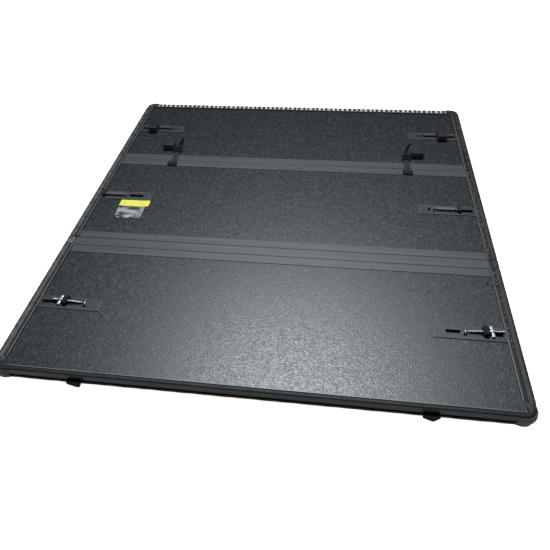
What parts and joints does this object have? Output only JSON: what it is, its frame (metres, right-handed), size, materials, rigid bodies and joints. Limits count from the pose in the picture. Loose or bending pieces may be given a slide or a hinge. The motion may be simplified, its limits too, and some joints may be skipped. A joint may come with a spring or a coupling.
{
  "type": "hard tri-fold tonneau cover",
  "caption": "Hard folding cover for a pickup bed, shown underside up: hinged sandwich panels in rails, rubber seals, slotted latch tracks with clamps and flip latches, and stow straps.",
  "frame": {"origin": "centre of the footprint, at the lowest line of the hinge barrels on the weather side, with the cover lying weather side down", "axes": "+X to the right, across the truck; +Y from the cab end to the tailgate end; +Z out of the underside"},
  "size_m": [1.48, 1.524, 0.0762],
  "materials": {
    "panel_skin": "satin",
    "panel_core": "matte",
    "rail_aluminium": "satin",
    "seal_rubber": "matte",
    "moulded_plastic": "satin",
    "track_metal": "satin",
    "latch_steel": "satin",
    "zinc_steel": "satin",
    "jaw_rubber": "matte",
    "webbing": "matte",
    "label_paper": "matte"
  },
  "bodies": {
    "front_panel": {"front_panel_core": "panel_core", "front_panel_skins": "panel_skin", "front_side_rails": "rail_aluminium", "front_rail": "rail_aluminium", "front_hinge_rail": "rail_aluminium", "front_panel_seal": "seal_rubber", "front_corner_caps": "moulded_plastic", "strap_catches": "moulded_plastic", "front_right_latch_track": "track_metal", "front_left_latch_track": "track_metal", "front_track_screws": "zinc_steel", "front_hinge_pin": "zinc_steel"},
    "spacer": {"spacer_bar": "rail_aluminium", "spacer_end_caps": "moulded_plastic", "spacer_seals": "seal_rubber", "spacer_hinge_pin": "zinc_steel"},
    "mid_panel": {"mid_panel_core": "panel_core", "mid_panel_skins": "panel_skin", "mid_side_rails": "rail_aluminium", "mid_front_hinge_rail": "rail_aluminium", "mid_rear_hinge_rail": "rail_aluminium", "mid_panel_seals": "seal_rubber", "mid_right_latch_track": "track_metal", "mid_left_latch_track": "track_metal", "mid_track_screws": "zinc_steel", "rear_hinge_pin": "zinc_steel", "stow_straps": "webbing", "strap_anchors_and_buckles": "moulded_plastic", "care_labels": "label_paper"},
    "rear_panel": {"rear_panel_core": "panel_core", "rear_panel_skins": "panel_skin", "rear_side_rails": "rail_aluminium", "rear_rail": "rail_aluminium", "rear_hinge_rail": "rail_aluminium", "rear_panel_seal": "seal_rubber", "rear_corner_caps": "moulded_plastic", "rear_right_latch_track": "track_metal", "rear_left_latch_track": "track_metal", "rear_track_screws": "zinc_steel", "rest_blocks": "jaw_rubber"},
    "front_right_latch_slider": {"front_right_latch_slider": "latch_steel"},
    "front_right_latch_rod": {"front_right_latch_rod": "zinc_steel"},
    "front_right_latch_clamp": {"front_right_latch_jaw": "jaw_rubber", "front_right_latch_wing_nut": "zinc_steel"},
    "front_left_latch_slider": {"front_left_latch_slider": "latch_steel"},
    "front_left_latch_rod": {"front_left_latch_rod": "zinc_steel"},
    "front_left_latch_clamp": {"front_left_latch_jaw": "jaw_rubber", "front_left_latch_wing_nut": "zinc_steel"},
    "mid_right_latch_slider": {"mid_right_latch_slider": "latch_steel"},
    "mid_right_latch_arm": {"mid_right_latch_arm": "latch_steel"},
    "mid_right_latch_jaw": {"mid_right_latch_jaw": "jaw_rubber"},
    "mid_left_latch_slider": {"mid_left_latch_slider": "latch_steel"},
    "mid_left_latch_arm": {"mid_left_latch_arm": "latch_steel"},
    "mid_left_latch_jaw": {"mid_left_latch_jaw": "jaw_rubber"},
    "rear_right_latch_slider": {"rear_right_latch_slider": "latch_steel"},
    "rear_right_latch_arm": {"rear_right_latch_arm": "latch_steel"},
    "rear_right_latch_jaw": {"rear_right_latch_jaw": "jaw_rubber"},
    "rear_left_latch_slider": {"rear_left_latch_slider": "latch_steel"},
    "rear_left_latch_arm": {"rear_left_latch_arm": "latch_steel"},
    "rear_left_latch_jaw": {"rear_left_latch_jaw": "jaw_rubber"}
  },
  "joints": [
    {"name": "fold_front", "type": "hinge", "parent": "front_panel", "child": "spacer", "pos_m": [0, -0.239, 0.0035], "axis": [-1, 0, 0], "range_deg": [0, 87]},
    {"name": "fold_front_second", "type": "hinge", "parent": "spacer", "child": "mid_panel", "pos_m": [0, -0.199, 0.0035], "axis": [-1, 0, 0], "range_deg": [0, 87]},
    {"name": "fold_rear", "type": "hinge", "parent": "mid_panel", "child": "rear_panel", "pos_m": [0, 0.295, 0.0035], "axis": [-1, 0, 0], "range_deg": [0, 179.5]},
    {"name": "front_right_latch_slide", "type": "slide", "parent": "front_panel", "child": "front_right_latch_slider", "axis": [1, 0, 0], "range_m": [-0.044, 0.002]},
    {"name": "front_right_latch_swing", "type": "hinge", "parent": "front_right_latch_slider", "child": "front_right_latch_rod", "pos_m": [0.598, -0.5, 0.0415], "axis": [0, 1, 0], "range_deg": [-90, 0]},
    {"name": "front_right_latch_clamp_travel", "type": "slide", "parent": "front_right_latch_rod", "child": "front_right_latch_clamp", "axis": [0.9976, 0.0698, 0], "range_m": [-0.039, 0.027]},
    {"name": "front_left_latch_slide", "type": "slide", "parent": "front_panel", "child": "front_left_latch_slider", "axis": [-1, 0, 0], "range_m": [-0.005, 0.042]},
    {"name": "front_left_latch_swing", "type": "hinge", "parent": "front_left_latch_slider", "child": "front_left_latch_rod", "pos_m": [-0.558, -0.5, 0.0415], "axis": [0, -1, 0], "range_deg": [-90, 0]},
    {"name": "front_left_latch_clamp_travel", "type": "slide", "parent": "front_left_latch_rod", "child": "front_left_latch_clamp", "axis": [-0.9976, 0.0698, 0], "range_m": [-0.048, 0.018]},
    {"name": "mid_right_latch_slide", "type": "slide", "parent": "mid_panel", "child": "mid_right_latch_slider", "axis": [1, 0, 0], "range_m": [-0.012, 0.05]},
    {"name": "mid_right_latch_swing", "type": "hinge", "parent": "mid_right_latch_slider", "child": "mid_right_latch_arm", "pos_m": [0.565, 0.045, 0.0415], "axis": [0, 1, 0], "range_deg": [-90, 0]},
    {"name": "mid_right_latch_jaw_tilt", "type": "hinge", "parent": "mid_right_latch_arm", "child": "mid_right_latch_jaw", "pos_m": [0.645, 0.045, 0.0415], "axis": [0, 1, 0], "range_deg": [-40, 0]},
    {"name": "mid_left_latch_slide", "type": "slide", "parent": "mid_panel", "child": "mid_left_latch_slider", "axis": [-1, 0, 0], "range_m": [-0.059, 0.003]},
    {"name": "mid_left_latch_swing", "type": "hinge", "parent": "mid_left_latch_slider", "child": "mid_left_latch_arm", "pos_m": [-0.612, 0.045, 0.0415], "axis": [0, -1, 0], "range_deg": [-90, 0]},
    {"name": "mid_left_latch_jaw_tilt", "type": "hinge", "parent": "mid_left_latch_arm", "child": "mid_left_latch_jaw", "pos_m": [-0.692, 0.045, 0.0415], "axis": [0, -1, 0], "range_deg": [-40, 0]},
    {"name": "rear_right_latch_slide", "type": "slide", "parent": "rear_panel", "child": "rear_right_latch_slider", "axis": [1, 0, 0], "range_m": [-0.009, 0.047]},
    {"name": "rear_right_latch_swing", "type": "hinge", "parent": "rear_right_latch_slider", "child": "rear_right_latch_arm", "pos_m": [0.562, 0.542, 0.0415], "axis": [0, 1, 0], "range_deg": [-90, 0]},
    {"name": "rear_right_latch_jaw_tilt", "type": "hinge", "parent": "rear_right_latch_arm", "child": "rear_right_latch_jaw", "pos_m": [0.622, 0.542, 0.0415], "axis": [0, 1, 0], "range_deg": [-40, 0]},
    {"name": "rear_left_latch_slide", "type": "slide", "parent": "rear_panel", "child": "rear_left_latch_slider", "axis": [-1, 0, 0], "range_m": [-0.009, 0.047]},
    {"name": "rear_left_latch_swing", "type": "hinge", "parent": "rear_left_latch_slider", "child": "rear_left_latch_arm", "pos_m": [-0.562, 0.542, 0.0415], "axis": [0, -1, 0], "range_deg": [-90, 0]},
    {"name": "rear_left_latch_jaw_tilt", "type": "hinge", "parent": "rear_left_latch_arm", "child": "rear_left_latch_jaw", "pos_m": [-0.622, 0.542, 0.0415], "axis": [0, -1, 0], "range_deg": [-40, 0]}
  ],
  "couplings": [
    {"joint": "fold_front_second", "follows": "fold_front", "ratio": 1}
  ]
}
